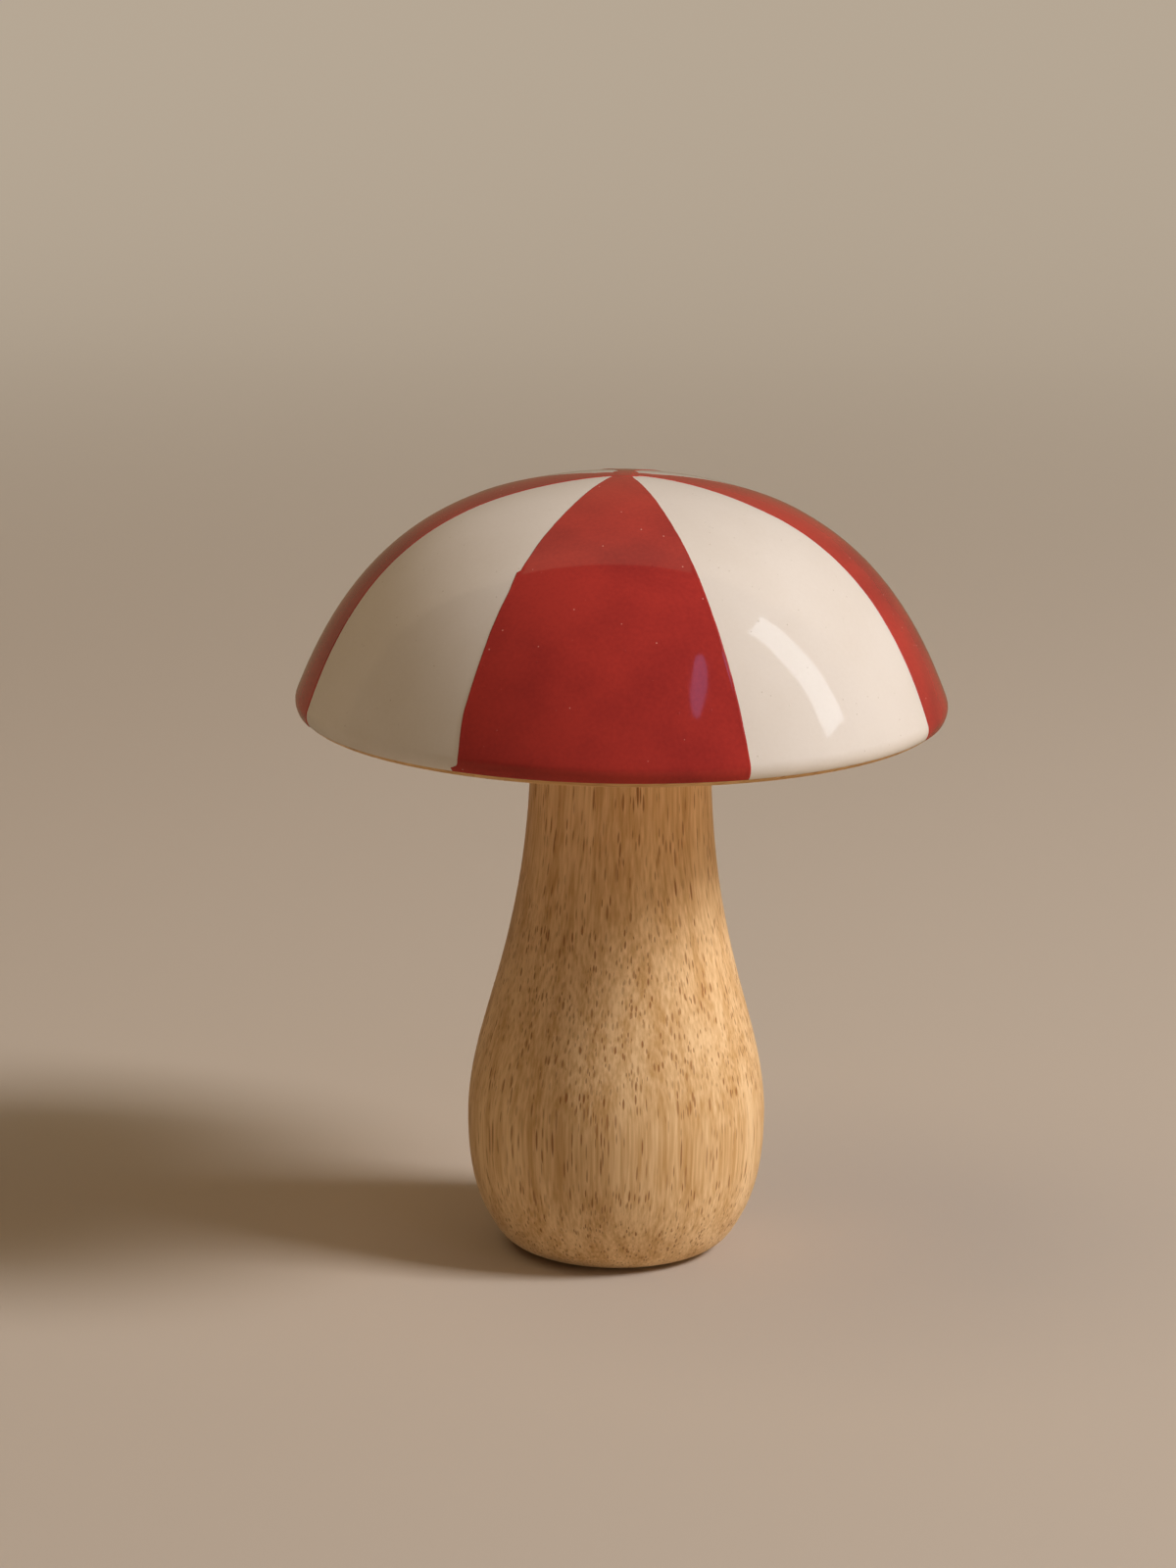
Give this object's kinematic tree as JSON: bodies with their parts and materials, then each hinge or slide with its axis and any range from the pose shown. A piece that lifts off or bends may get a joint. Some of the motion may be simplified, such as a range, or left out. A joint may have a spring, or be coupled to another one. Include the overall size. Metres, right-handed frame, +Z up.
{
  "type": "mushroom ornament",
  "caption": "Turned wooden mushroom ornament: waisted hardwood stem doweled into a domed cap with gloss enamel in alternating red and cream gores.",
  "frame": {"origin": "middle of the foot, on the surface that the ornament stands on", "axes": "+Z up along the stem's axis through the crown; the middle of one red gore faces -Y"},
  "size_m": [0.0998, 0.1, 0.122],
  "materials": {
    "stem_wood": "pale open-pored hardwood with a satin clear coat, grain along the stem",
    "cap_wood": "the same hardwood, bare and sanded, grain across the cap",
    "dowel_wood": "plain pale beech, fluted, hidden in the joint",
    "red_enamel": "thick high-gloss red enamel paint",
    "cream_enamel": "thick high-gloss cream enamel paint"
  },
  "bodies": {
    "root": {"stem": "stem_wood", "joint_dowel": "dowel_wood", "cap_core": "cap_wood", "enamel_crown_spot": "red_enamel", "enamel_red_front": "red_enamel", "enamel_red_right": "red_enamel", "enamel_red_back": "red_enamel", "enamel_red_left": "red_enamel", "enamel_cream_front_right": "cream_enamel", "enamel_cream_right_back": "cream_enamel", "enamel_cream_back_left": "cream_enamel", "enamel_cream_left_front": "cream_enamel"}
  },
  "joints": []
}
